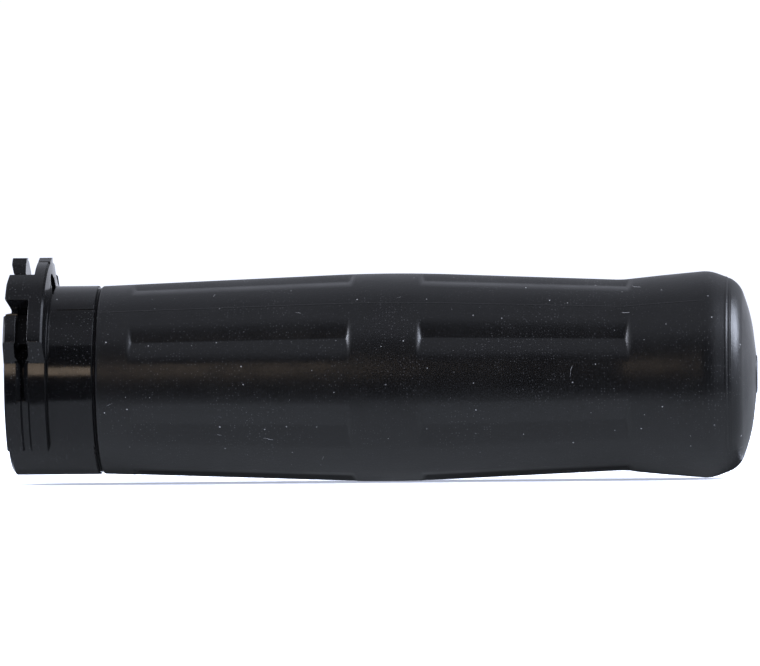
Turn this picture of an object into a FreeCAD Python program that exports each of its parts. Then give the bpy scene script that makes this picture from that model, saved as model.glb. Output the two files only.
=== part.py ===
"""Motorcycle throttle grip: a moulded throttle sleeve with its cable reel, a fluted rubber grip and an end button.

Frame, in millimetres: the origin is the centre of the handlebar bore at the sleeve's open end, +X runs along the
grip to its closed domed end, and +Z points up through the hooks of the cable reel. Places around the grip are
angles in degrees from +Z towards -Y, the rider's side.
"""

import FreeCAD
import Part
import Sketcher
import math
import os

# ---------------------------------------------------------------------------------------------------------------
# Driving dimensions. They become the cells of the spreadsheet, and every feature is bound to them.
# ---------------------------------------------------------------------------------------------------------------

SIZES = {
    # Throttle sleeve: the tube that turns on a 25.4 mm handlebar
    "bore_radius": 12.79,
    "tube_radius": 14.3,
    "sleeve_length": 130.0,
    # Collar that turns inside the switch housing
    "collar_radius": 18.3,
    "collar_chamfer": 0.5,
    "collar_end": 16.85,
    "collar_round": 0.3,
    "shoulder_radius": 17.75,
    "seam_angle": 42.0,
    "seam_start": 9.6,
    "seam_width": 0.3,
    "seam_depth": 0.15,
    # Cable reel: two rims with a groove between them
    "reel_foot_width": 8.4,
    "rim_root_radius": 17.6,
    "lower_rim_radius": 20.2,
    "lower_rim_width": 8.1,
    "lower_rim_bevel": 0.25,
    "lower_rim_reach": 132.0,
    "upper_rim_radius": 23.3,
    "upper_rim_width": 7.55,
    "upper_rim_bevel": 0.4,
    "ramp_foot_angle": 80.2,
    "ramp_top_angle": 71.0,
    "groove_near": 2.33,
    "groove_far": 4.66,
    "groove_floor_radius": 18.9,
    "hook_gap_near": 2.8,
    "hook_gap_far": 5.2,
    "cable_slot_floor_radius": 15.2,
    "cable_slot_angle": 74.4,
    "cable_slot_half_width": 1.35,
    "cable_slot_half_height": 0.95,
    "cable_slot_taper": 1.15,
    "cable_slot_end_half_width": 0.5,
    "vee_half_width": 1.15,
    "vee_depth": 1.0,
    "vee_end_angle": 101.0,
    "slit_half_width": 0.33,
    "slit_floor_radius": 17.4,
    "trail_offset": 0.5,
    "trail_half_width": 0.92,
    "trail_floor_half_width": 0.55,
    "trail_depth": 0.3,
    # Blocks, notches and hooks of the reel
    "block_top_angle": 28.3,
    "block_foot_angle": 47.8,
    "block_corner_width": 0.4,
    "block_corner_height": 3.0,
    "notch_foot_angle": 57.2,
    "pull_seat_place_radius": 21.2,
    "pull_seat_radius": 1.35,
    "end_slot_top": 15.9,
    "end_slot_middle": 13.7,
    "end_slot_foot": 12.9,
    "end_slot_depth": 1.15,
    "end_slot_reach": 3.0,
    "return_seat_angle": 14.1,
    "return_seat_place_radius": 18.05,
    "return_seat_radius": 3.2,
    "hook_radius": 23.85,
    "hook_left_face": 0.05,
    "hook_left_foot": 0.5,
    "hook_crest_angle": -1.5,
    "hook_brow_angle": 4.6,
    "hook_tip_angle": 9.0,
    "hook_tip_radius": 22.75,
    "right_brow_angle": 2.4,
    "right_brow_foot": 11.0,
    "hook_throat_angle": 12.0,
    "hook_throat_radius": 21.1,
    "hook_heel_angle": -16.0,
    "hook_heel_radius": 21.8,
    "gap_start_angle": -27.5,
    "left_gap_end_angle": -16.0,
    "right_gap_end_angle": -10.5,
    "gap_floor_radius": 19.3,
    # Ribs and barbs that hold the rubber
    "rib_count": 6,
    "rib_width": 2.4,
    "rib_height": 0.7,
    "rib_start": 30.0,
    "rib_end": 116.0,
    "barb_near": 23.0,
    "barb_far": 121.0,
    "barb_length": 2.4,
    "barb_height": 0.8,
    "fit_gap": 0.02,
    # Rubber grip
    "rubber_start": 17.25,
    "inner_end_radius": 18.22,
    "end_round": 0.6,
    "crown_place": 73.6,
    "crown_radius": 20.36,
    "crown_round": 290.0,
    "waist_place": 118.2,
    "waist_radius": 18.47,
    "waist_round": 18.0,
    "flare_place": 126.2,
    "flare_radius": 19.28,
    "flare_round": 40.0,
    "brow_place": 135.2,
    "brow_radius": 20.07,
    "brow_round": 7.0,
    "shoulder_place": 140.9,
    "dome_shoulder_radius": 17.9,
    "shoulder_round": 5.0,
    "dome_place": 143.2,
    "dome_mid_radius": 11.0,
    "dome_round": 30.0,
    "dome_edge_place": 144.0,
    "bead_place": 138.55,
    "bead_half_width": 0.22,
    "bead_drop": 0.18,
    "bead_root_radius": 18.3,
    "bead_top_radius": 18.99,
    # Flutes
    "flute_count": 7,
    "flute_first_angle": 15.2,
    "flute_flank_angle": 8.5,
    "flute_crown_depth": 0.82,
    "flute_end_depth": 0.66,
    "inner_flute_start": 23.7,
    "inner_flute_end": 66.5,
    "outer_flute_start": 79.4,
    "outer_flute_end": 119.8,
    # End button
    "button_radius": 3.8,
    "button_face": 144.2,
    "button_seat": 143.1,
    "button_round": 0.5,
    "stem_radius": 1.6,
    "stem_start": 135.5,
    "stem_barb_radius": 2.4,
    "stem_barb_start": 136.5,
    "stem_barb_end": 138.2,
}


# How far a cutting section reaches past the surface that it cuts
CLEARANCE = 3.0


class Size:
    """A dimension that carries both its number and the spreadsheet expression that gives it."""

    def __init__(self, value, text):
        self.value = float(value)
        self.text = text

    @staticmethod
    def of(thing):
        return thing if isinstance(thing, Size) else Size(thing, repr(float(thing)))

    def __add__(self, other):
        other = Size.of(other)
        return Size(self.value + other.value, f"({self.text} + {other.text})")

    def __sub__(self, other):
        other = Size.of(other)
        return Size(self.value - other.value, f"({self.text} - {other.text})")

    def __mul__(self, other):
        other = Size.of(other)
        return Size(self.value * other.value, f"({self.text} * {other.text})")

    def __truediv__(self, other):
        other = Size.of(other)
        return Size(self.value / other.value, f"({self.text} / {other.text})")

    def __neg__(self):
        return Size(-self.value, f"(-1 * {self.text})")


class SizeSheet:
    """The spreadsheet, with each of its cells as an attribute such as sizes.bore_radius."""

    def __init__(self, doc, values):
        self.sheet = doc.addObject("Spreadsheet::Sheet", "Sizes")
        for row, (name, value) in enumerate(values.items(), start=1):
            self.sheet.set(f"A{row}", name)
            self.sheet.set(f"B{row}", str(value))
            self.sheet.setAlias(f"B{row}", name)
            setattr(self, name, Size(value, f"Sizes.{name}"))


def polar(radius, angle):
    """(across, up) in a sketch on the YZ plane, for a radius and an angle from +Z towards -Y."""
    radius, angle = Size.of(radius), Size.of(angle)
    turn = math.radians(angle.value)
    across = Size(-radius.value * math.sin(turn), f"(-1 * {radius.text} * sin({angle.text}))")
    up = Size(radius.value * math.cos(turn), f"({radius.text} * cos({angle.text}))")
    return across, up


# ---------------------------------------------------------------------------------------------------------------
# Sketches
# ---------------------------------------------------------------------------------------------------------------


def add_sketch(body, name, role, turn=None, lift=None):
    """A sketch on one of the body's origin planes, turned about its own X axis and lifted along its normal."""
    plane = next(f for f in body.Origin.OriginFeatures if f.Role == role)
    sketch = body.newObject("Sketcher::SketchObject", name)
    sketch.AttachmentSupport = (plane, [""])
    sketch.MapMode = "FlatFace"
    turn, lift = Size.of(turn or 0), Size.of(lift or 0)
    tilt = math.radians(turn.value)
    base = FreeCAD.Vector(0, -math.sin(tilt) * lift.value, math.cos(tilt) * lift.value)
    rotation = FreeCAD.Rotation(FreeCAD.Vector(1, 0, 0), turn.value)
    sketch.AttachmentOffset = FreeCAD.Placement(base, rotation)
    if turn.value:
        sketch.setExpression("AttachmentOffset.Rotation.Angle", turn.text)
        sketch.setExpression("AttachmentOffset.Base.y", f"-1 * sin({turn.text}) * {lift.text}")
    if lift.value:
        sketch.setExpression("AttachmentOffset.Base.z", f"cos({turn.text}) * {lift.text}")
    return sketch


def bind_number(sketch, kind, links, size):
    """A driving dimension of the sketch, bound to the spreadsheet."""
    index = sketch.addConstraint(Sketcher.Constraint(kind, *links, size.value))
    sketch.setExpression(f"Constraints[{index}]", size.text)


def pin_point(sketch, geometry, end, across, up):
    """Holds a point at its distances from the sketch's origin, or on an axis where a distance is zero."""
    for kind, size, axis in (("DistanceX", across, -2), ("DistanceY", up, -1)):
        if abs(size.value) < 1e-9:
            sketch.addConstraint(Sketcher.Constraint("PointOnObject", geometry, end, axis))
        else:
            bind_number(sketch, kind, (-1, 1, geometry, end), size)


def corner_arc(before, corner, after, radius):
    """The arc that rounds a corner: its two ends on the lines, and whether it turns anticlockwise."""
    back = (before - corner).normalize()
    ahead = (after - corner).normalize()
    half = back.getAngle(ahead) / 2
    first = corner + back * (radius / math.tan(half))
    last = corner + ahead * (radius / math.tan(half))
    centre = corner + (back + ahead).normalize() * (radius / math.sin(half))
    anticlockwise = back.cross(ahead).z < 0
    ends = (first, last) if anticlockwise else (last, first)
    angles = [math.atan2(p.y - centre.y, p.x - centre.x) for p in ends]
    circle = Part.Circle(centre, FreeCAD.Vector(0, 0, 1), radius)
    return first, last, Part.ArcOfCircle(circle, angles[0], angles[1]), anticlockwise


def add_outline(sketch, corners):
    """A closed outline through corners (across, up) or (across, up, round), the last for a rounded corner."""
    corners = [tuple(Size.of(size) for size in corner) for corner in corners]
    points = [FreeCAD.Vector(corner[0].value, corner[1].value, 0) for corner in corners]
    count = len(corners)
    starts, stops, arcs = list(points), list(points), {}
    for i, corner in enumerate(corners):
        if len(corner) == 3:
            parts = corner_arc(points[i - 1], points[i], points[(i + 1) % count], corner[2].value)
            stops[i], starts[i] = parts[0], parts[1]
            arcs[i] = parts[2:]
    lines = []
    for i in range(count):
        lines.append(sketch.addGeometry(Part.LineSegment(starts[i], stops[(i + 1) % count]), False))
    for i, corner in enumerate(corners):
        before, after = lines[i - 1], lines[i]
        if i not in arcs:
            sketch.addConstraint(Sketcher.Constraint("Coincident", before, 2, after, 1))
            pin_point(sketch, after, 1, corner[0], corner[1])
            continue
        shape, anticlockwise = arcs[i]
        arc = sketch.addGeometry(shape, False)
        near, far = (1, 2) if anticlockwise else (2, 1)
        sketch.addConstraint(Sketcher.Constraint("Tangent", before, 2, arc, near))
        sketch.addConstraint(Sketcher.Constraint("Tangent", arc, far, after, 1))
        bind_number(sketch, "Radius", (arc,), corner[2])
        point = sketch.addGeometry(Part.Point(points[i]), True)
        sketch.addConstraint(Sketcher.Constraint("PointOnObject", point, 1, before))
        sketch.addConstraint(Sketcher.Constraint("PointOnObject", point, 1, after))
        pin_point(sketch, point, 1, corner[0], corner[1])


def add_circle(sketch, across, up, radius):
    centre = FreeCAD.Vector(across.value, up.value, 0)
    circle = sketch.addGeometry(Part.Circle(centre, FreeCAD.Vector(0, 0, 1), radius.value), False)
    bind_number(sketch, "Radius", (circle,), radius)
    pin_point(sketch, circle, 3, across, up)


# ---------------------------------------------------------------------------------------------------------------
# Features
# ---------------------------------------------------------------------------------------------------------------


def add_feature(body, kind, name, sketch, numbers):
    """A PartDesign feature on a sketch, with its numbers bound, checked to have changed the body's volume."""
    volume = body.Shape.Volume if body.Tip else 0.0
    feature = body.newObject(f"PartDesign::{kind}", name)
    feature.Profile = sketch
    if kind in ("Revolution", "Groove"):
        feature.ReferenceAxis = (sketch, ["H_Axis"])
    for prop, size in numbers.items():
        setattr(feature, prop, size.value)
        feature.setExpression(prop, size.text)
    sketch.Visibility = False
    body.Document.recompute()
    change = body.Shape.Volume - volume
    expected_sign = -1 if kind in ("Pocket", "Groove") else 1
    if change * expected_sign < 1e-3:
        raise RuntimeError(f"{body.Label}.{name} changed the volume by {change:.4f} mm3")
    return feature


def turn_outline(body, kind, name, corners, start=0, sweep=360):
    """Revolves an outline of (along the axis, radius) corners, all round or from one angle over a sweep."""
    sketch = add_sketch(body, f"{name}_outline", "XZ_Plane", turn=Size.of(start))
    add_outline(sketch, corners)
    return add_feature(body, kind, name, sketch, {"Angle": Size.of(sweep)})


def sector(body, kind, name, corners, start, end):
    """The same, between two angles."""
    return turn_outline(body, kind, name, corners, start, Size.of(end) - start)


def cut_along(body, name, corners, from_x, to_x):
    """A pocket parallel to the axis between two places along it, of a section with straight sides."""
    sketch = add_sketch(body, f"{name}_section", "YZ_Plane", lift=Size.of(to_x))
    add_outline(sketch, corners)
    return add_feature(body, "Pocket", name, sketch, {"Length": Size.of(to_x) - from_x})


def cut_round(body, name, place, radius, from_x, to_x):
    """The same with a round section, centred at a place (across, up)."""
    sketch = add_sketch(body, f"{name}_section", "YZ_Plane", lift=Size.of(to_x))
    add_circle(sketch, *place, radius)
    return add_feature(body, "Pocket", name, sketch, {"Length": Size.of(to_x) - from_x})


def band(near, far, low, high):
    """The four corners of a rectangular section, along the axis from near to far and outwards from low to high."""
    return [(near, low), (near, high), (far, high), (far, low)]


def repeat_round(body, feature, count):
    """Repeats a feature evenly round the grip's axis."""
    volume = body.Shape.Volume
    pattern = body.newObject("PartDesign::PolarPattern", f"{feature.Name}_pattern")
    pattern.Originals = [feature]
    axis = next(f for f in body.Origin.OriginFeatures if f.Role == "X_Axis")
    pattern.Axis = (axis, [""])
    pattern.Angle = 360
    pattern.Occurrences = int(count.value)
    pattern.setExpression("Occurrences", count.text)
    body.Tip = pattern
    body.Document.recompute()
    if abs(body.Shape.Volume - volume) < 1e-3:
        raise RuntimeError(f"{body.Label}: the pattern of {feature.Name} changed nothing")


def new_body(doc, name):
    body = doc.addObject("PartDesign::Body", name)
    body.Label = name
    doc.recompute()
    return body


# ---------------------------------------------------------------------------------------------------------------
# Throttle sleeve
# ---------------------------------------------------------------------------------------------------------------


def tube_outline(s, gap, reverse=False):
    """Outer corners of the sleeve's tube under the rubber, with its two barbs, grown by a gap all round."""
    corners = []
    for start in (s.barb_near, s.barb_far):
        end = start + s.barb_length
        corners.append((start - gap, s.tube_radius + gap))
        corners.append((end + gap, s.tube_radius + s.barb_height + gap))
        corners.append((end + gap, s.tube_radius + gap))
    return list(reversed(corners)) if reverse else corners


def add_ribs(body, s, kind, name, gap):
    """Lengthwise ribs on the tube, or with a gap, the keyways that they fill in the rubber."""
    half = s.rib_width / 2 + gap
    top = s.tube_radius + s.rib_height + gap
    start, end = s.rib_start - gap, s.rib_end + gap
    root = s.tube_radius - 0.4
    corners = [(-half, root), (half, root), (half, top), (-half, top)]
    place = start if kind == "Pad" else end
    sketch = add_sketch(body, f"{name}_section", "YZ_Plane", lift=place)
    add_outline(sketch, corners)
    feature = add_feature(body, kind, name, sketch, {"Length": end - start})
    repeat_round(body, feature, s.rib_count)


def add_barrel(body, s):
    """Tube and collar: everything on the sleeve that is round all the way."""
    corners = [
        (0, s.bore_radius),
        (0, s.collar_radius - s.collar_chamfer),
        (s.collar_chamfer, s.collar_radius),
        (s.collar_end, s.collar_radius, s.collar_round),
        (s.collar_end, s.shoulder_radius),
        (s.rubber_start, s.shoulder_radius),
        (s.rubber_start, s.tube_radius),
        *tube_outline(s, 0),
        (s.sleeve_length, s.tube_radius),
        (s.sleeve_length, s.bore_radius),
    ]
    turn_outline(body, "Revolution", "barrel", corners)


def rim_outline(s, radius, width, bevel):
    """Section of the reel before its groove is cut: bevelled outer edges and a steep flank on the collar side."""
    return [
        (0, s.rim_root_radius),
        (0, radius - bevel),
        (bevel, radius),
        (width - bevel, radius),
        (width, radius - bevel),
        (s.reel_foot_width, s.rim_root_radius),
    ]


def add_rims(body, s):
    """The reel's rims: low along the rider's side and the back, and high over the top, with a ramp between."""
    low = rim_outline(s, s.lower_rim_radius, s.lower_rim_width, s.lower_rim_bevel)
    sector(body, "Revolution", "lower_rims", low, -s.lower_rim_reach, s.lower_rim_reach)
    high = rim_outline(s, s.upper_rim_radius, s.upper_rim_width, s.upper_rim_bevel)
    sector(body, "Revolution", "upper_rims", high, -s.ramp_foot_angle, s.ramp_foot_angle)
    clear = s.upper_rim_radius + CLEARANCE
    for side, label in ((1, "front"), (-1, "back")):
        ramp = [
            polar(s.upper_rim_radius, s.ramp_top_angle * side),
            polar(s.lower_rim_radius, s.ramp_foot_angle * side),
            polar(clear, (s.ramp_foot_angle + 3) * side),
            polar(clear, (s.ramp_top_angle - 3) * side),
        ]
        cut_along(body, f"{label}_ramp", ramp, -1, s.reel_foot_width + 1)


def add_hook_crests(body, s):
    """The crests of the two hooks, a little higher than the rims they stand on."""
    low = s.upper_rim_radius - 1
    left = band(s.hook_left_face, s.hook_gap_near, low, s.hook_radius)
    sector(body, "Revolution", "left_hook_crest", left, s.hook_crest_angle, s.hook_tip_angle)
    right = band(s.hook_gap_far, s.upper_rim_width, low, s.hook_radius)
    sector(body, "Revolution", "right_hook_crest", right, s.hook_crest_angle, s.hook_tip_angle)


def cut_grooves(body, s):
    """The cable groove between the rims, with the block left standing across it near the top."""
    clear = s.upper_rim_radius + CLEARANCE
    middle = (s.groove_near + s.groove_far) / 2
    channel = band(s.groove_near, s.groove_far, s.groove_floor_radius, clear)
    sector(body, "Groove", "front_channel", channel, s.block_foot_angle, s.ramp_top_angle)
    sector(body, "Groove", "back_channel", channel, -s.lower_rim_reach - 1, s.hook_heel_angle)
    between_hooks = band(s.hook_gap_near, s.hook_gap_far, s.groove_floor_radius, clear)
    sector(body, "Groove", "hook_gap", between_hooks, s.hook_heel_angle - 1, s.block_top_angle)

    over = 0.6
    vee_side = s.vee_half_width * (s.vee_depth + over) / s.vee_depth
    vee_top = s.lower_rim_radius + over
    vee = [(middle, s.lower_rim_radius - s.vee_depth), (middle - vee_side, vee_top), (middle + vee_side, vee_top)]
    sector(body, "Groove", "cable_vee", vee, s.ramp_foot_angle - 1, s.vee_end_angle)
    slit = band(middle - s.slit_half_width, middle + s.slit_half_width, s.slit_floor_radius, clear)
    sector(body, "Groove", "cable_slit", slit, s.cable_slot_angle, s.vee_end_angle)

    floor = s.lower_rim_radius - s.trail_depth
    centre = middle + s.trail_offset
    trail = [
        (centre - s.trail_floor_half_width, floor),
        (centre - s.trail_half_width, s.lower_rim_radius),
        (centre - s.trail_half_width, clear),
        (centre + s.trail_half_width, clear),
        (centre + s.trail_half_width, s.lower_rim_radius),
        (centre + s.trail_floor_half_width, floor),
    ]
    sector(body, "Groove", "cable_trail", trail, s.vee_end_angle - 4, s.lower_rim_reach + 1)


def cut_radially(body, s, name, angle, corners, floor_radius):
    """A pocket cut inwards at an angle round the grip, of an outline (along the axis, up the surface)."""
    lift = s.upper_rim_radius + CLEARANCE
    sketch = add_sketch(body, f"{name}_outline", "XZ_Plane", turn=angle - 90, lift=lift)
    add_outline(sketch, corners)
    return add_feature(body, "Pocket", name, sketch, {"Length": lift - floor_radius})


def cut_cable_slot(body, s):
    """The deep slot where the pull cable dives between the rims, narrower at both ends."""
    middle = (s.groove_near + s.groove_far) / 2
    side, height, end = s.cable_slot_half_width, s.cable_slot_half_height, s.cable_slot_end_half_width
    tip = height + s.cable_slot_taper
    corners = [
        (middle - end, -tip),
        (middle + end, -tip),
        (middle + side, -height),
        (middle + side, height),
        (middle + end, tip),
        (middle - end, tip),
        (middle - side, height),
        (middle - side, -height),
    ]
    cut_radially(body, s, "cable_slot", s.cable_slot_angle, corners, s.cable_slot_floor_radius)


def cut_pull_seat(body, s):
    """The notch in the outer rim for the end of the opening cable, with a round floor and a slot in the end face."""
    clear = s.upper_rim_radius + CLEARANCE
    notch = band(-1, s.groove_far, s.pull_seat_place_radius, clear)
    sector(body, "Groove", "pull_notch", notch, s.block_foot_angle, s.notch_foot_angle)
    angle = (s.block_foot_angle + s.notch_foot_angle) / 2
    place = polar(s.pull_seat_place_radius, angle)
    cut_round(body, "pull_seat", place, s.pull_seat_radius, -1, s.groove_far)
    end_slot = [
        (-1, s.end_slot_foot),
        (0, s.end_slot_foot),
        (s.end_slot_depth, s.end_slot_foot + 0.2),
        (s.end_slot_depth, s.end_slot_middle),
        (0, s.end_slot_top),
        (-1, s.end_slot_top),
    ]
    cut_radially(body, s, "end_slot", Size.of(90), end_slot, -s.end_slot_reach)


def cut_block_corner(body, s):
    """The slanted corner at the upper outer end of the block, cut square to a line a little below its top."""
    turn = 4
    top = s.upper_rim_radius * math.sin(math.radians(turn))
    corners = [
        (-1, top + 1),
        (s.block_corner_width, top + 1),
        (s.block_corner_width, top),
        (0, top - s.block_corner_height),
        (-1, top - s.block_corner_height),
    ]
    cut_radially(body, s, "block_corner", s.block_top_angle + turn, corners, s.lower_rim_radius - 0.5)


def cut_return_seat(body, s):
    """The round seat of the closing cable's ferrule, its open mouth behind the block, and the left hook over it."""
    clear = s.upper_rim_radius + CLEARANCE
    mouth = [
        polar(clear, s.hook_brow_angle),
        polar(s.hook_radius, s.hook_brow_angle),
        polar(s.hook_tip_radius, s.hook_tip_angle),
        polar(s.hook_throat_radius, s.hook_throat_angle),
        polar(s.return_seat_place_radius, s.hook_throat_angle + 6),
        polar(s.return_seat_place_radius, s.block_top_angle),
        polar(clear, s.block_top_angle),
    ]
    cut_along(body, "return_mouth", mouth, -1, s.hook_gap_near + 0.1)
    place = polar(s.return_seat_place_radius, s.return_seat_angle)
    cut_round(body, "return_seat", place, s.return_seat_radius, -1, s.reel_foot_width)


def cut_hook_sides(body, s):
    """The sloping front of the right hook, and the outer side of the left one, narrower at its foot."""
    clear = s.upper_rim_radius + CLEARANCE
    brow = [
        polar(clear, s.right_brow_angle),
        polar(s.hook_radius, s.right_brow_angle),
        polar(s.upper_rim_radius, s.right_brow_foot),
        polar(clear, s.right_brow_foot),
    ]
    cut_along(body, "right_hook_brow", brow, s.hook_gap_near + 0.1, s.reel_foot_width)
    corners = [
        (-1, s.gap_floor_radius),
        (-1, clear),
        (s.hook_left_face, clear),
        (s.hook_left_face, s.hook_tip_radius),
        (s.hook_left_foot, s.hook_throat_radius),
        (s.hook_left_foot, s.gap_floor_radius),
    ]
    sector(body, "Groove", "left_hook_side", corners, s.left_gap_end_angle - 1, s.block_top_angle - 2)


def cut_hook_backs(body, s):
    """The gap behind each hook, and the slope down the back of the left one."""
    clear = s.upper_rim_radius + CLEARANCE
    left = band(-1, s.hook_gap_near + 0.1, s.gap_floor_radius, clear)
    sector(body, "Groove", "left_rim_gap", left, s.gap_start_angle, s.left_gap_end_angle)
    right = band(s.hook_gap_near, s.reel_foot_width + 1, s.gap_floor_radius, clear)
    sector(body, "Groove", "right_rim_gap", right, s.gap_start_angle, s.right_gap_end_angle)
    slope = [
        polar(s.hook_radius, s.hook_crest_angle),
        polar(s.hook_heel_radius, s.hook_heel_angle),
        polar(clear, s.hook_heel_angle),
        polar(clear, s.hook_crest_angle),
    ]
    cut_along(body, "left_hook_slope", slope, -1, s.hook_gap_near + 0.1)


def cut_collar_seam(body, s):
    """The fine lengthwise mould line of the collar."""
    top = s.collar_radius + 0.3
    half = s.seam_width / 2
    sketch = add_sketch(body, "collar_seam_outline", "XZ_Plane", turn=s.seam_angle - 90, lift=top)
    start = s.seam_start
    corners = [(start, -half), (s.collar_end + 0.5, -half), (s.collar_end + 0.5, half), (start, half)]
    add_outline(sketch, corners)
    add_feature(body, "Pocket", "collar_seam", sketch, {"Length": s.seam_depth + 0.3})


def make_throttle_sleeve(doc, s):
    body = new_body(doc, "throttle_sleeve")
    add_barrel(body, s)
    add_ribs(body, s, "Pad", "rib", 0)
    add_rims(body, s)
    add_hook_crests(body, s)
    cut_grooves(body, s)
    cut_cable_slot(body, s)
    cut_pull_seat(body, s)
    cut_block_corner(body, s)
    cut_return_seat(body, s)
    cut_hook_sides(body, s)
    cut_hook_backs(body, s)
    cut_collar_seam(body, s)
    return body


# ---------------------------------------------------------------------------------------------------------------
# Rubber grip
# ---------------------------------------------------------------------------------------------------------------


def add_moulding(body, s):
    """The rubber without its flutes: outer profile, closed dome, cavity for the sleeve and seat for the button."""
    gap = s.fit_gap
    stem = s.stem_radius + gap
    corners = [
        (s.rubber_start + gap, s.inner_end_radius, s.end_round),
        (s.crown_place, s.crown_radius, s.crown_round),
        (s.waist_place, s.waist_radius, s.waist_round),
        (s.flare_place, s.flare_radius, s.flare_round),
        (s.brow_place, s.brow_radius, s.brow_round),
        (s.shoulder_place, s.dome_shoulder_radius, s.shoulder_round),
        (s.dome_place, s.dome_mid_radius, s.dome_round),
        (s.dome_edge_place, s.button_radius + gap),
        (s.button_seat - gap, s.button_radius + gap),
        (s.button_seat - gap, stem),
        (s.stem_barb_end + gap, stem),
        (s.stem_barb_end + gap, s.stem_barb_radius + gap),
        (s.stem_barb_start - gap, stem),
        (s.stem_start - gap, stem),
        (s.stem_start - gap, 0),
        (s.sleeve_length + gap, 0),
        (s.sleeve_length + gap, s.tube_radius + gap),
        *tube_outline(s, gap, reverse=True),
        (s.rubber_start + gap, s.tube_radius + gap),
    ]
    turn_outline(body, "Revolution", "moulding", corners)


def add_cap_bead(body, s):
    """The thin raised line where the mould's end cap met its barrel."""
    half = s.bead_half_width
    corners = [
        (s.bead_place - half, s.bead_root_radius),
        (s.bead_place - half, s.bead_top_radius),
        (s.bead_place + half, s.bead_top_radius - s.bead_drop),
        (s.bead_place + half, s.bead_root_radius),
    ]
    turn_outline(body, "Revolution", "cap_bead", corners)


def barrel_radius(s, place):
    """Radius of the rubber's two straight tapers, which meet at the crown."""
    start, low = s.rubber_start.value, s.inner_end_radius.value
    if place > s.crown_place.value:
        start, low = s.waist_place.value, s.waist_radius.value
    share = (place - start) / (s.crown_place.value - start)
    return low + share * (s.crown_radius.value - low)


def flute_tool(doc, s, name, start, end, angle):
    """Cutter for one flute: two flat flanks that meet in a valley, and end walls that slope at 45 degrees."""
    depths = [s.flute_end_depth.value, s.flute_crown_depth.value]
    if start > s.crown_place.value:
        depths.reverse()
    low, high = (
        FreeCAD.Vector(place, 0, barrel_radius(s, place) - depth) for place, depth in zip((start, end), depths)
    )
    along = (high - low).normalize()
    inwards = FreeCAD.Vector(along.z, 0, -along.x)
    length = (high - low).Length
    height = CLEARANCE

    tool = doc.addObject("Part::Wedge", name)
    tool.Ymin, tool.Ymax = -height, 0
    tool.Xmin, tool.Xmax = depths[0] - height, length - depths[1] + height
    tool.X2min, tool.X2max = depths[0], length - depths[1]
    tool.setExpression("Zmax", f"{height} / tan({s.flute_flank_angle.text})")
    tool.setExpression("Zmin", f"-{height} / tan({s.flute_flank_angle.text})")
    tool.Z2min = tool.Z2max = 0
    round_axis = FreeCAD.Rotation(FreeCAD.Vector(1, 0, 0), angle)
    lying = FreeCAD.Rotation(along, inwards, along.cross(inwards), "XYZ")
    tool.Placement = FreeCAD.Placement(round_axis.multVec(low), round_axis.multiply(lying))
    return tool


def make_rubber_grip(doc, s):
    body = new_body(doc, "rubber_moulding")
    add_moulding(body, s)
    add_cap_bead(body, s)
    add_ribs(body, s, "Pocket", "keyway", s.fit_gap)

    tools = []
    rows = (("inner", s.inner_flute_start, s.inner_flute_end), ("outer", s.outer_flute_start, s.outer_flute_end))
    count = int(s.flute_count.value)
    for row, start, end in rows:
        for i in range(count):
            angle = s.flute_first_angle.value + i * 360 / count
            tools.append(flute_tool(doc, s, f"{row}_flute_{i + 1}", start.value, end.value, angle))
    flutes = doc.addObject("Part::MultiFuse", "flutes")
    flutes.Shapes = tools

    grip = doc.addObject("Part::Cut", "fluted_grip")
    grip.Label = "rubber_grip"
    grip.Base = body
    grip.Tool = flutes
    doc.recompute()
    if body.Shape.Volume - grip.Shape.Volume < 100:
        raise RuntimeError("the flutes cut almost nothing")
    return grip


# ---------------------------------------------------------------------------------------------------------------
# End button
# ---------------------------------------------------------------------------------------------------------------


def make_end_button(doc, s):
    """A flat disc on a barbed stem that is pressed into the dome."""
    body = new_body(doc, "end_button")
    corners = [
        (s.stem_start, 0),
        (s.stem_start, s.stem_radius),
        (s.stem_barb_start, s.stem_radius),
        (s.stem_barb_end, s.stem_barb_radius),
        (s.stem_barb_end, s.stem_radius),
        (s.button_seat, s.stem_radius),
        (s.button_seat, s.button_radius),
        (s.button_face, s.button_radius, s.button_round),
        (s.button_face, 0),
    ]
    turn_outline(body, "Revolution", "button", corners)
    return body


# ---------------------------------------------------------------------------------------------------------------
# Document and export
# ---------------------------------------------------------------------------------------------------------------


def check_and_export(doc, pieces):
    """Writes each piece's STEP file, once every object of the document is sound."""
    broken = [o.Label for o in doc.Objects if "Invalid" in o.State or "Error" in o.State]
    if broken:
        raise RuntimeError(f"failed objects: {', '.join(broken)}")
    for piece in pieces:
        if piece.Shape.isNull() or not piece.Shape.isValid() or len(piece.Shape.Solids) != 1:
            raise RuntimeError(f"{piece.Label} isn't one valid solid")
    os.makedirs("parts", exist_ok=True)
    for piece in pieces:
        piece.Shape.exportStep(f"parts/{piece.Label}.step")
        print(f"{piece.Label}: {piece.Shape.Volume:.1f} mm3")


def main():
    doc = FreeCAD.newDocument("throttle_grip")
    sizes = SizeSheet(doc, SIZES)
    doc.recompute()
    pieces = [make_throttle_sleeve(doc, sizes), make_rubber_grip(doc, sizes), make_end_button(doc, sizes)]
    doc.recompute()
    check_and_export(doc, pieces)


main()
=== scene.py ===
"""Studio picture of the throttle grip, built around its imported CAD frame. Lengths are in metres."""

import math

import bpy
import numpy as np
from mathutils import Euler, Matrix, Vector


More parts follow.
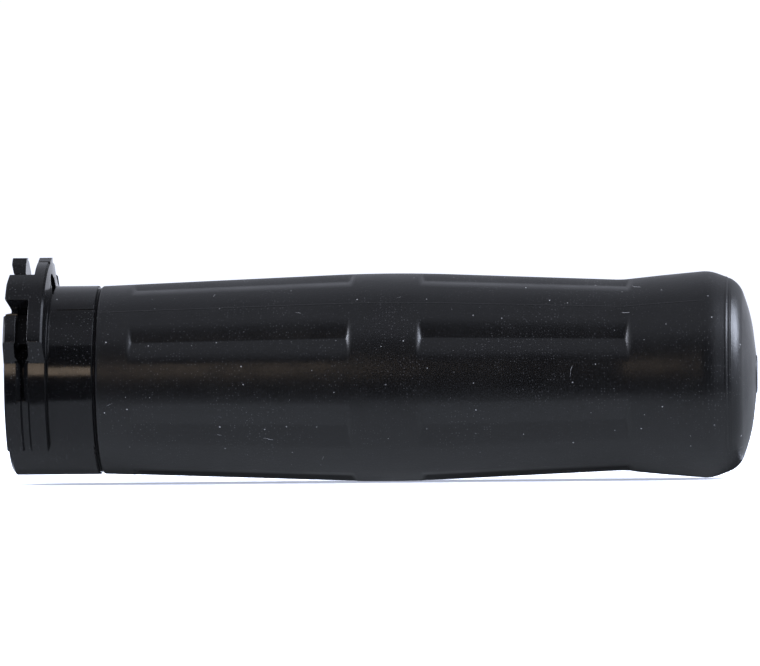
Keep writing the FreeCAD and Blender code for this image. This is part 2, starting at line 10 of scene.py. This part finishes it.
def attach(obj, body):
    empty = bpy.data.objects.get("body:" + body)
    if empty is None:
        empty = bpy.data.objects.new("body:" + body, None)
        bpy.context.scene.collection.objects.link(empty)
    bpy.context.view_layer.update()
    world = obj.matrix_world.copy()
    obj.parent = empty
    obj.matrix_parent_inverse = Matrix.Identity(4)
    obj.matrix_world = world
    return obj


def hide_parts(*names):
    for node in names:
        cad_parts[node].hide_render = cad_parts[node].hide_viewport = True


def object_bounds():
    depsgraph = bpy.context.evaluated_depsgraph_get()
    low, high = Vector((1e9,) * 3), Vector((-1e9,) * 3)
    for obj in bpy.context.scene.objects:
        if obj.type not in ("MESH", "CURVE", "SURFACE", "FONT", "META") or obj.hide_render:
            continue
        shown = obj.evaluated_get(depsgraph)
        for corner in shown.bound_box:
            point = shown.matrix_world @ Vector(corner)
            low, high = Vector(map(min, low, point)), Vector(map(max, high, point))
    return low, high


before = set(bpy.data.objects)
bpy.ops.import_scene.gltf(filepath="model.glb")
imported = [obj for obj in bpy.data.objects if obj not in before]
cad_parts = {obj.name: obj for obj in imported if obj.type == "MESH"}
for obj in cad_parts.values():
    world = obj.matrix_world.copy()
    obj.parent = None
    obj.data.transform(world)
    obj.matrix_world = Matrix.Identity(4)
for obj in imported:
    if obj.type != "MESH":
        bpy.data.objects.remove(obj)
cad_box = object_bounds()

# --------------------------------------------------------------------------------------------------
# Camera
# --------------------------------------------------------------------------------------------------

SENSOR_WIDTH_MM = 36.0
CAMERA_DISTANCE = 1.586
CAMERA_YAW_DEGREES = 3.58
CAMERA_ROLL_DEGREES = -0.55
VIEW_WIDTH = 0.1473
AIM_ALONG_GRIP = 0.0712
AIM_ABOVE_AXIS = 0.0086


def add_camera():
    """A long lens in front of the grip, turned a little so that the domed end is nearer."""
    camera_data = bpy.data.cameras.new("camera")
    camera_data.sensor_width = SENSOR_WIDTH_MM
    camera_data.lens = SENSOR_WIDTH_MM * CAMERA_DISTANCE / VIEW_WIDTH
    camera_data.clip_start = 0.05
    camera_data.clip_end = 50
    camera = bpy.data.objects.new("camera", camera_data)
    aim = Vector((AIM_ALONG_GRIP, 0, AIM_ABOVE_AXIS))
    yaw = math.radians(CAMERA_YAW_DEGREES)
    camera.location = aim + Vector((math.sin(yaw), -math.cos(yaw), 0)) * CAMERA_DISTANCE
    facing = (aim - camera.location).to_track_quat("-Z", "Y")
    roll = Euler((0, 0, math.radians(CAMERA_ROLL_DEGREES))).to_quaternion()
    camera.rotation_mode = "QUATERNION"
    camera.rotation_quaternion = facing @ roll
    bpy.context.scene.collection.objects.link(camera)
    bpy.context.scene.camera = camera


# --------------------------------------------------------------------------------------------------
# Node trees
# --------------------------------------------------------------------------------------------------


class Nodes:
    """A short way to build a node tree: values or other nodes' outputs go straight into a node's inputs."""

    def __init__(self, tree):
        self.tree = tree
        tree.nodes.clear()

    def add(self, kind, inputs=None, **settings):
        node = self.tree.nodes.new(kind)
        for name, value in settings.items():
            setattr(node, name, value)
        for name, value in (inputs or {}).items():
            if isinstance(value, bpy.types.NodeSocket):
                self.tree.links.new(value, node.inputs[name])
            else:
                node.inputs[name].default_value = value
        return node

    def principled(self, inputs):
        """Ends a surface material in one principled shader."""
        shader = self.add("ShaderNodeBsdfPrincipled", inputs)
        self.add("ShaderNodeOutputMaterial", {"Surface": shader.outputs[0]})

    def math(self, operation, *values):
        return self.add("ShaderNodeMath", dict(enumerate(values)), operation=operation).outputs[0]

    def axis(self, vector, name):
        return self.add("ShaderNodeSeparateXYZ", {"Vector": vector}).outputs[name]

    def ramp(self, factor, low, high, to_low=0.0, to_high=1.0):
        """Smooth step of a factor from to_low at low to to_high at high."""
        inputs = {"Value": factor, "From Min": low, "From Max": high, "To Min": to_low, "To Max": to_high}
        return self.add("ShaderNodeMapRange", inputs, interpolation_type="SMOOTHSTEP").outputs[0]

    def radius(self, place):
        """Distance from the grip's axis."""
        flattened = {0: place, 1: (0.0, 1.0, 1.0)}
        across = self.add("ShaderNodeVectorMath", flattened, operation="MULTIPLY").outputs[0]
        return self.add("ShaderNodeVectorMath", {0: across}, operation="LENGTH").outputs["Value"]

    def noise(self, place, scale, detail=2.0, roughness=0.5):
        inputs = {"Vector": place, "Scale": scale, "Detail": detail, "Roughness": roughness}
        return self.add("ShaderNodeTexNoise", inputs).outputs["Fac"]

    def mix(self, factor, first, second):
        """Mix of two colours, whose sockets in a mix node are the numbers 6 and 7 and its result number 2."""
        return self.add("ShaderNodeMix", {0: factor, 6: first, 7: second}, data_type="RGBA").outputs[2]


def new_material(name):
    material = bpy.data.materials.new(name)
    material.use_nodes = True
    return material, Nodes(material.node_tree)


def grey(level, tint=(1.0, 1.0, 1.0)):
    return (level * tint[0], level * tint[1], level * tint[2], 1.0)


# --------------------------------------------------------------------------------------------------
# Studio: a pale floor under a white horizon, cards that paint reflections and shadow into the grip's gloss,
# and lamps
# --------------------------------------------------------------------------------------------------

FLOOR_SIZE = 12.0
FLOOR_GAP = 0.00005
CARD_GAP = 0.0001
SKY_TINT = (0.95, 0.99, 1.13)
FLOOR_TINT = (0.9, 0.93, 1.0)
# Tint of the cards' glow: painted reflections, seen only in the grip's gloss
CARD_TINT = (0.82, 0.88, 1.0)
HORIZON_LEVEL = 1.08
SKY_LEVEL = 0.46
ZENITH_LEVEL = 0.3


def add_world():
    """A thin white horizon under a grey sky that is darkest overhead, all a little blue."""
    world = bpy.data.worlds.new("studio")
    world.use_nodes = True
    nodes = Nodes(world.node_tree)
    direction = nodes.add("ShaderNodeTexCoord").outputs["Generated"]
    height = nodes.axis(direction, "Z")
    near_horizon = nodes.ramp(height, 0.04, 0.16, HORIZON_LEVEL, SKY_LEVEL)
    overhead = nodes.ramp(height, 0.9, 0.995, 0.0, SKY_LEVEL - ZENITH_LEVEL)
    level = nodes.math("SUBTRACT", near_horizon, overhead)
    background = nodes.add("ShaderNodeBackground", {"Color": (*SKY_TINT, 1.0), "Strength": level})
    nodes.add("ShaderNodeOutputWorld", {"Surface": background.outputs[0]})
    bpy.context.scene.world = world


def add_panel(name, material, corners):
    """A flat four-cornered stage piece."""
    mesh = bpy.data.meshes.new(name)
    mesh.from_pydata(corners, [], [range(len(corners))])
    mesh.materials.append(material)
    panel = bpy.data.objects.new(name, mesh)
    bpy.context.scene.collection.objects.link(panel)
    return panel


def level_corners(left, right, front, back, height):
    return [(left, front, height), (right, front, height), (right, back, height), (left, back, height)]


def add_floor():
    """The pale floor that the grip lies on."""
    material, nodes = new_material("floor_paint")
    shader = nodes.add("ShaderNodeBsdfDiffuse", {"Color": (*FLOOR_TINT, 1.0)})
    nodes.add("ShaderNodeOutputMaterial", {"Surface": shader.outputs[0]})
    half = FLOOR_SIZE / 2
    add_panel("floor", material, level_corners(-half, half, -half, half, cad_box[0][2] - FLOOR_GAP))


def add_card(name, corners, levels):
    """A card that only the grip's gloss sees, from one grey level at its front to another at its back: a
    painted reflection that glows without lighting or shading anything.
    """
    material, nodes = new_material(name)
    share = nodes.axis(nodes.add("ShaderNodeTexCoord").outputs["Generated"], "Y")
    level = nodes.ramp(share, 0.0, 1.0, *levels)
    shader = nodes.add("ShaderNodeEmission", {"Color": (*CARD_TINT, 1.0), "Strength": level})
    nodes.add("ShaderNodeOutputMaterial", {"Surface": shader.outputs[0]})
    card = add_panel(name, material, corners)
    card.visible_camera = False
    card.visible_diffuse = False
    card.visible_shadow = False
    card.visible_transmission = False


def add_cards():
    """Painted reflections on the floor, seen only in the grip's gloss: black flags in front, a bright card
    before the grip, a painted contact shadow darkening under it, a dark painted shadow behind it, and a
    dimmer card beyond the dome.
    """
    low = cad_box[0][2] + CARD_GAP
    side, front, foot, near, middle, far = 0.55, -0.6, -0.053, -0.015, 0.001, 0.08
    flag_top = 0.57
    sleeve_end, dome_end = -0.002, 0.146
    bright, dark, black = 0.82, 0.08, 0.0
    standing = [(-side, front, low), (side, front, low), (side, front, flag_top), (-side, front, flag_top)]
    add_card("lying_flag", level_corners(-side, side, front, foot, low), (black, black))
    add_card("standing_flag", standing, (black, black))
    # Painted reflection of the floor in front of the grip, dimmer than the floor itself
    add_card("foot_card", level_corners(-side, side, foot, near, low), (bright, bright))
    # Painted contact shadow: bright in front of the grip, darkening to near black under it, seen only in the
    # gloss
    add_card("painted_contact_shadow_card", level_corners(-side, side, near, middle, low), (bright, dark))
    # Painted shadow: a dark floor behind and under the grip, seen only in the gloss
    add_card("shadow_card", level_corners(sleeve_end, dome_end, middle, far, low), (dark, dark))
    # Painted shade: a dimmer floor beyond the dome, seen only in the gloss, darkening the dome's lower side
    behind = [(dome_end, -0.02, low), (0.75, -0.02, 0.012), (0.75, 0.8, 0.02), (dome_end, 0.8, 0.01)]
    add_card("dome_card", behind, (0.7, 0.35))


def add_lamp(name, place, target, size, radiance, tint=(1.0, 1.0, 1.0)):
    """A rectangular softbox whose face has a given radiance."""
    lamp_data = bpy.data.lights.new(name, "AREA")
    lamp_data.shape = "RECTANGLE"
    lamp_data.size, lamp_data.size_y = size
    lamp_data.energy = radiance * size[0] * size[1] * math.pi
    lamp_data.color = tint
    lamp = bpy.data.objects.new(name, lamp_data)
    lamp.location = place
    lamp.rotation_mode = "QUATERNION"
    lamp.rotation_quaternion = (Vector(target) - Vector(place)).to_track_quat("-Z", "Y")
    lamp.visible_camera = False
    bpy.context.scene.collection.objects.link(lamp)
    return lamp


def add_lamps():
    """A wide overhead light, a small warm window in front, and a tall softbox beyond each end."""
    middle = (0.07, 0.0, 0.0)
    overhead = add_lamp("overhead", (0.07, 0.5, 4.0), middle, (10.0, 10.0), 1.9, SKY_TINT)
    overhead.visible_glossy = False
    overhead.data.use_shadow = False
    add_lamp("warm_window", (-0.056, -0.55, 0.107), (0.0, 0.0, 0.0), (0.09, 0.09), 4.4, (1.0, 0.79, 0.6))
    add_lamp("right_softbox", (1.36, 0.16, 0.75), middle, (0.8, 0.7), 16.0, (0.86, 0.93, 1.1))
    add_lamp("left_softbox", (-1.22, 0.21, 0.5), middle, (0.4, 0.9), 18.0, (0.92, 0.96, 1.1))


# --------------------------------------------------------------------------------------------------
# Materials
# --------------------------------------------------------------------------------------------------

BLACK_TINT = (1.0, 1.0, 1.05)
DUST_LEVEL = 0.6
# The mean radius at which the grip's surface is laid out flat for its dust
MEAN_RADIUS = 0.0195
FIBRE_TURNS = (0.5, 1.3, 2.4, 2.9)
FIBRE_STRETCH = 20.0
FIBRE_COVER = 0.7
SPECK_COVER = 0.42


def object_place(nodes):
    return nodes.add("ShaderNodeTexCoord").outputs["Object"]


def add_bumps(nodes, layers, normal=None):
    """Stacks bump layers, each (height, depth in metres), on a starting normal."""
    for height, depth in layers:
        inputs = {"Height": height, "Distance": depth, "Strength": 1.0}
        if normal is not None:
            inputs["Normal"] = normal
        normal = nodes.add("ShaderNodeBump", inputs).outputs[0]
    return normal


def unrolled(nodes, place, waviness):
    """The grip's surface laid out flat, in metres along it and round it, bent a little by a noise."""
    angle = nodes.math("ARCTAN2", nodes.axis(place, "Y"), nodes.axis(place, "Z"))
    across = nodes.math("MULTIPLY", angle, MEAN_RADIUS)
    bend = nodes.math("MULTIPLY", nodes.math("SUBTRACT", nodes.noise(place, 260.0, 1.0), 0.5), waviness)
    across = nodes.math("ADD", across, bend)
    return nodes.add("ShaderNodeCombineXYZ", {"X": nodes.axis(place, "X"), "Y": across}).outputs[0]


def add_specks(nodes, flat, cell, radii, share, stretch=1.0, turn=0.0):
    """1 on specks, 0 elsewhere: a share of the layout's cells get one, between two radii, in metres."""
    inputs = {"Vector": flat, "Rotation": (0.0, 0.0, turn), "Scale": (stretch, 1.0, 1.0)}
    warped = nodes.add("ShaderNodeMapping", inputs, vector_type="TEXTURE").outputs[0]
    inputs = {"Vector": warped, "Scale": 1 / cell}
    cells = nodes.add("ShaderNodeTexVoronoi", inputs, voronoi_dimensions="2D")
    pick = nodes.add("ShaderNodeSeparateColor", {"Color": cells.outputs["Color"]})
    chosen = nodes.math("LESS_THAN", pick.outputs[0], share)
    reach = nodes.ramp(pick.outputs[1], 0.0, 1.0, radii[0] / cell, radii[1] / cell)
    inside = nodes.math("LESS_THAN", cells.outputs["Distance"], reach)
    return nodes.math("MULTIPLY", chosen, inside)


def add_dust(nodes, place, dots, fibres):
    """Powder, dots and short bent fibres; dots and fibres are the shares of cells that hold one."""
    flat = unrolled(nodes, place, 0.0)
    wavy = unrolled(nodes, place, 0.006)
    dust = add_specks(nodes, flat, 0.0045, (0.00003, 0.00014), dots)
    dust = nodes.math("MULTIPLY", dust, nodes.ramp(nodes.noise(place, 900.0), 0.35, 0.65, 0.15, 1.0))
    for turn in FIBRE_TURNS:
        fibre = add_specks(nodes, wavy, 0.0015, (0.00002, 0.00005), fibres, FIBRE_STRETCH, turn)
        dust = nodes.math("MAXIMUM", dust, nodes.math("MULTIPLY", fibre, FIBRE_COVER))
    dust = nodes.math("MULTIPLY", dust, SPECK_COVER)
    powder = add_specks(nodes, flat, 0.0006, (0.00003, 0.00011), 0.5)
    patches = nodes.ramp(nodes.noise(place, 90.0, 3.0), 0.4, 0.65, 0.01, 0.05)
    return nodes.math("MAXIMUM", dust, nodes.math("MULTIPLY", powder, patches))


def dusty(nodes, level, dust):
    """A near-black colour of one level with pale dust on it."""
    return nodes.mix(dust, grey(level, BLACK_TINT), grey(DUST_LEVEL))


# Where the moulding is unpolished: the gap beside the rubber, and the cable groove between the reel's
# rims, apart from the band at the collar's own radius, which is as glossy as the collar
GAP_START = 0.01684
GAP_RADIUS = 0.01815
REEL_WIDTH = 0.0083
GROOVE_RADIUS = 0.01915
COLLAR_RADIUS = 0.0183
COLLAR_BAND = 0.00015
# The smallest lengthwise part of the normal on a face that looks along the grip
FLANK_SLOPE = 0.55


def nylon_gloss(nodes, place):
    """Specular level, low on the unpolished faces and on the faces that look along the grip."""
    along = nodes.axis(place, "X")
    radius = nodes.radius(place)
    in_gap = nodes.math("GREATER_THAN", along, GAP_START)
    in_gap = nodes.math("MULTIPLY", in_gap, nodes.math("LESS_THAN", radius, GAP_RADIUS))
    facing = nodes.add("ShaderNodeNewGeometry").outputs["True Normal"]
    on_flank = nodes.math("GREATER_THAN", nodes.math("ABSOLUTE", nodes.axis(facing, "X")), FLANK_SLOPE)
    in_groove = nodes.math("LESS_THAN", along, REEL_WIDTH)
    in_groove = nodes.math("MULTIPLY", in_groove, nodes.math("LESS_THAN", radius, GROOVE_RADIUS))
    off_collar = nodes.math("ABSOLUTE", nodes.math("SUBTRACT", radius, COLLAR_RADIUS))
    in_groove = nodes.math("MULTIPLY", in_groove, nodes.math("GREATER_THAN", off_collar, COLLAR_BAND))
    dull = nodes.math("MAXIMUM", nodes.math("MAXIMUM", on_flank, in_groove), in_gap)
    return nodes.ramp(dull, 0.0, 1.0, 0.32, 0.04)


def make_nylon():
    """Glossy moulded black nylon with a faint ripple, fine smudges, softened edges and a little dust."""
    material, nodes = new_material("nylon")
    place = object_place(nodes)
    ripple = nodes.noise(place, 160.0, 2.0)
    grain = nodes.noise(place, 2600.0, 2.0)
    smudge = nodes.noise(place, 210.0, 4.0, 0.6)
    rounded = nodes.add("ShaderNodeBevel", {"Radius": 0.00012}, samples=6).outputs[0]
    inputs = {
        "Base Color": dusty(nodes, 0.0028, add_dust(nodes, place, 0.12, 0.02)),
        "Roughness": nodes.ramp(smudge, 0.35, 0.7, 0.12, 0.19),
        "Specular IOR Level": nylon_gloss(nodes, place),
        "Normal": add_bumps(nodes, [(ripple, 0.00006), (grain, 0.0000035)], rounded),
    }
    nodes.principled(inputs)
    return material


def make_rubber():
    """Smooth satin black rubber with a fine grain, a soft mottle, and specks of dust and lint."""
    material, nodes = new_material("grip_rubber")
    place = object_place(nodes)
    grain = nodes.noise(place, 2200.0, 3.0)
    wave = nodes.noise(place, 70.0, 2.0)
    mottle = nodes.noise(place, 120.0, 5.0, 0.6)
    inputs = {
        "Base Color": dusty(nodes, 0.0038, add_dust(nodes, place, 0.4, 0.035)),
        "Roughness": nodes.ramp(mottle, 0.3, 0.7, 0.3, 0.38),
        "Specular IOR Level": 0.42,
        "Normal": add_bumps(nodes, [(wave, 0.0001), (grain, 0.00002)]),
    }
    nodes.principled(inputs)
    return material


def make_button_plastic():
    """Plain satin black plastic with a fine grain."""
    material, nodes = new_material("button_plastic")
    grain = nodes.noise(object_place(nodes), 1500.0, 3.0)
    inputs = {
        "Base Color": grey(0.01),
        "Roughness": 0.4,
        "Specular IOR Level": 0.4,
        "Normal": add_bumps(nodes, [(grain, 0.00001)]),
    }
    nodes.principled(inputs)
    return material


# --------------------------------------------------------------------------------------------------
# Rubber grip: the CAD solid's profile and flutes, with soft lips and the fine lines of its mould
# --------------------------------------------------------------------------------------------------

# Millimetres, as in the CAD model
FIT_GAP = 0.02
RUBBER_START = 17.25
INNER_END_RADIUS = 18.22
CROWN_PLACE, CROWN_RADIUS = 73.6, 20.36
WAIST_PLACE, WAIST_RADIUS = 118.2, 18.47
CAVITY_RADIUS = 14.3 + FIT_GAP
CAVITY_END = 130.0 + FIT_GAP
BARBS = ((23.0, 25.4), (121.0, 123.4))
BARB_HEIGHT = 0.8
RIB_COUNT = 6
RIB_START, RIB_END = 30.0 - FIT_GAP, 116.0 + FIT_GAP
RIB_HALF_WIDTH, RIB_TOP = 1.2 + FIT_GAP, 15.0 + FIT_GAP
STEM_RADIUS = 1.6 + FIT_GAP
SEAT_RADIUS = 3.8 + FIT_GAP
FLUTE_COUNT = 7
FLUTE_FIRST_ANGLE = 15.2
FLUTE_FLANK_ANGLE = 8.5
# (start, end, depth at the start, depth at the end) of each row
FLUTE_ROWS = ((23.7, 66.5, 0.66, 0.82), (79.4, 119.8, 0.82, 0.66))
LIP_SOFTNESS = 0.65
FOOT_SOFTNESS = 0.3
PARTING_LINE_ANGLES = (44.4, 224.4)
PARTING_LINE_END = 134.0
PARTING_LINE_HEIGHT, PARTING_LINE_HALF_WIDTH = 0.045, 0.07
# (place, height) of each line round the flared end, where the outline is wider than CAP_LEAST_RADIUS
CAP_LINES = ((138.45, 0.05), (138.85, -0.05), (139.5, 0.03))
CAP_LINE_HALF_WIDTH = 0.13
CAP_LEAST_RADIUS = 15.0
# How finely the skin is divided along the grip, round it, and along a rounded corner of its outline
COARSE_STEP, FINE_STEP, LEAST_STEP = 0.8, 0.1, 0.05
ARC_STEP, ARC_TURN_DEGREES, LEAST_ARC_STEPS = 0.5, 4, 4
FLUTE_END_REACH, CAP_LINE_REACH = 1.4, 0.45
STEPS_PER_TURN = 720
LINE_OFFSETS = (-0.4, -0.25, -0.12, 0, 0.12, 0.25, 0.4)
SHARP_EDGE_DEGREES = 35

OUTER_CORNERS = [
    (RUBBER_START + FIT_GAP, CAVITY_RADIUS, 0),
    (RUBBER_START + FIT_GAP, INNER_END_RADIUS, 0.6),
    (CROWN_PLACE, CROWN_RADIUS, 290.0),
    (WAIST_PLACE, WAIST_RADIUS, 18.0),
    (126.2, 19.28, 40.0),
    (135.2, 20.07, 7.0),
    (140.9, 17.9, 5.0),
    (143.2, 11.0, 30.0),
    (144.0, SEAT_RADIUS, 0.12),
    (143.1 - FIT_GAP, SEAT_RADIUS, 0),
    (143.1 - FIT_GAP, STEM_RADIUS, 0),
    (138.2 + FIT_GAP, STEM_RADIUS, 0),
    (138.2 + FIT_GAP, 2.4 + FIT_GAP, 0),
    (136.5 - FIT_GAP, STEM_RADIUS, 0),
    (135.5 - FIT_GAP, STEM_RADIUS, 0),
    (135.5 - FIT_GAP, 0, 0),
]


def cavity_corners():
    """The cavity from its closed end out to its mouth, with the grooves of the sleeve's two barbs."""
    corners = [(CAVITY_END, 0), (CAVITY_END, CAVITY_RADIUS)]
    for start, end in reversed(BARBS):
        corners += [
            (end + FIT_GAP, CAVITY_RADIUS),
            (end + FIT_GAP, CAVITY_RADIUS + BARB_HEIGHT),
            (start - FIT_GAP, CAVITY_RADIUS),
        ]
    for place in (RIB_END + 0.01, RIB_END, RIB_START, RIB_START - 0.01):
        corners.append((place, CAVITY_RADIUS))
    corners.sort(key=lambda corner: (-corner[0], corner[1] if corner[0] == CAVITY_END else -corner[1]))
    return corners


def round_corners(corners):
    """Points along an outline of (place, radius, rounding), with each rounding as a fine arc."""
    points = []
    for i, (place, radius, rounding) in enumerate(corners):
        corner = Vector((place, radius))
        if rounding == 0:
            points.append(corner)
            continue
        back = (Vector(corners[i - 1][:2]) - corner).normalized()
        ahead = (Vector(corners[i + 1][:2]) - corner).normalized()
        half = back.angle(ahead) / 2
        centre = corner + (back + ahead).normalized() * (rounding / math.sin(half))
        first = corner + back * (rounding / math.tan(half)) - centre
        sweep = first.angle_signed(corner + ahead * (rounding / math.tan(half)) - centre)
        along_arc = abs(sweep) * rounding / ARC_STEP
        steps = max(LEAST_ARC_STEPS, round(along_arc), round(math.degrees(abs(sweep)) / ARC_TURN_DEGREES))
        for step in range(steps + 1):
            arm = first.copy()
            arm.rotate(Matrix.Rotation(-sweep * step / steps, 2))
            points.append(centre + arm)
    return points


def add_fine_places(points):
    """Splits an outline's long runs, most finely near the ends of the flutes and the lines of the mould."""
    fine = [(place, FLUTE_END_REACH) for row in FLUTE_ROWS for place in row[:2]]
    fine += [(place, CAP_LINE_REACH) for place, _ in CAP_LINES]
    result = [points[0]]
    for start, end in zip(points, points[1:]):
        run = end - start
        place = start.x
        while run.x > 1e-6:
            near = any(abs(place - centre) < reach for centre, reach in fine)
            following = place + (FINE_STEP if near else COARSE_STEP)
            if not near:
                starts = [centre - reach for centre, reach in fine if place < centre - reach < following]
                following = min([following] + [start_of_fine + 0.001 for start_of_fine in starts])
            place = following
            if place > end.x - LEAST_STEP:
                break
            result.append(start + run * ((place - start.x) / run.x))
        result.append(end)
    return result


def grip_angles():
    """Angles in degrees from +Z towards the camera, closer together at a mould line or a keyway."""
    angles = {round(i * 360 / STEPS_PER_TURN, 3) for i in range(STEPS_PER_TURN)}
    for centre in PARTING_LINE_ANGLES:
        angles |= {round(centre + offset, 3) for offset in LINE_OFFSETS}
    edge = math.degrees(math.asin(RIB_HALF_WIDTH / CAVITY_RADIUS))
    for i in range(RIB_COUNT):
        for offset in (-edge - 0.02, -edge, edge, edge + 0.02):
            angles.add(round((i * 360 / RIB_COUNT + offset) % 360, 3))
    return np.array(sorted(angles))


def soft_lower(first, second, softness):
    """The lower of two heights, blended where they are close."""
    blend = np.maximum(softness - np.abs(first - second), 0) / softness
    return np.minimum(first, second) - blend**2 * softness / 4


def soft_higher(first, second, softness):
    return -soft_lower(-first, -second, softness)


def taper_radius(place):
    """Radius of the straight taper on each side of the crown, which the flutes are laid along."""
    inner = INNER_END_RADIUS + (place - RUBBER_START) / (CROWN_PLACE - RUBBER_START) * (
        CROWN_RADIUS - INNER_END_RADIUS
    )
    outer = WAIST_RADIUS + (WAIST_PLACE - place) / (WAIST_PLACE - CROWN_PLACE) * (CROWN_RADIUS - WAIST_RADIUS)
    return inner if place < CROWN_PLACE else outer


def cut_flutes(place, radii, angles):
    """Lowers a ring of radii where it crosses a row of flutes."""
    for start, end, start_depth, end_depth in FLUTE_ROWS:
        if not start - 1 < place < end + 1:
            continue
        share = (place - start) / (end - start)
        taper = taper_radius(place)
        valley = taper - start_depth - share * (end_depth - start_depth)
        spacing = 360 / FLUTE_COUNT
        offset = np.radians((angles - FLUTE_FIRST_ANGLE + spacing / 2) % spacing - spacing / 2)
        flank = valley / (np.cos(offset) - np.abs(np.sin(offset)) * math.tan(math.radians(FLUTE_FLANK_ANGLE)))
        wall = (taper - min(place - start, end - place)) / np.cos(offset)
        radii = soft_lower(radii, soft_higher(flank, wall, FOOT_SOFTNESS), LIP_SOFTNESS)
    return radii


def bump_line(distance, half_width):
    return np.exp(-((distance / half_width) ** 2))


def outer_ring(place, radius, angles):
    """Radii of one ring of the outer skin."""
    radii = cut_flutes(place, np.full(len(angles), radius), angles)
    if RUBBER_START + 1 < place < PARTING_LINE_END:
        for centre in PARTING_LINE_ANGLES:
            distance = np.radians(angles - centre) * radius
            radii = radii + PARTING_LINE_HEIGHT * bump_line(distance, PARTING_LINE_HALF_WIDTH)
    for line, height in CAP_LINES:
        if radius > CAP_LEAST_RADIUS:
            radii = radii + height * bump_line(place - line, CAP_LINE_HALF_WIDTH)
    return radii


def cavity_ring(place, radius, angles):
    """Radii of one ring of the cavity, with a keyway over each of the sleeve's ribs."""
    radii = np.full(len(angles), float(radius))
    if RIB_START <= place <= RIB_END:
        spacing = 360 / RIB_COUNT
        offset = np.radians((angles + spacing / 2) % spacing - spacing / 2)
        inside = np.abs(np.sin(offset)) * CAVITY_RADIUS <= RIB_HALF_WIDTH + 1e-3
        radii = np.where(inside, RIB_TOP / np.cos(offset), radii)
    return radii


def make_rubber_grip(material):
    """One closed skin: the cavity from its closed end to its mouth, the outside, and the button's seat."""
    angles = grip_angles()
    count = len(angles)
    rings = [(place, cavity_ring(place, radius, angles)) for place, radius in cavity_corners()[1:]]
    outside = add_fine_places(round_corners(OUTER_CORNERS))
    rings += [(point.x, outer_ring(point.x, point.y, angles)) for point in outside[:-1]]
    turn = np.radians(angles)
    corners = [[(CAVITY_END, 0.0, 0.0)]]
    for place, radii in rings:
        corners.append(np.stack([np.full(count, place), -radii * np.sin(turn), radii * np.cos(turn)], axis=1))
    corners.append([(outside[-1].x, 0.0, 0.0)])
    vertices = np.concatenate([np.array(ring) for ring in corners]) * 0.001

    around = np.arange(count)
    following = (around + 1) % count
    faces = [(0, 1 + a, 1 + b) for a, b in zip(following, around)]
    for ring in range(len(rings) - 1):
        base = 1 + ring * count
        near, far = (base + around, base + following), (base + count + following, base + count + around)
        faces += np.stack([*near, *far], axis=1).tolist()
    last, base = len(vertices) - 1, 1 + (len(rings) - 1) * count
    faces += [(last, base + a, base + b) for a, b in zip(around, following)]

    mesh = bpy.data.meshes.new("rubber_skin")
    mesh.from_pydata(vertices.tolist(), [], faces)
    mesh.shade_smooth()
    mesh.set_sharp_from_angle(angle=math.radians(SHARP_EDGE_DEGREES))
    mesh.materials.append(material)
    skin = bpy.data.objects.new("rubber_skin", mesh)
    bpy.context.scene.collection.objects.link(skin)
    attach(skin, "root")
    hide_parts("rubber_grip")


def give_material(node, material):
    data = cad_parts[node].data
    data.materials.clear()
    data.materials.append(material)


add_camera()
add_world()
add_floor()
add_cards()
add_lamps()
give_material("throttle_sleeve", make_nylon())
make_rubber_grip(make_rubber())
give_material("end_button", make_button_plastic())

bpy.context.scene.view_settings.view_transform = "Standard"
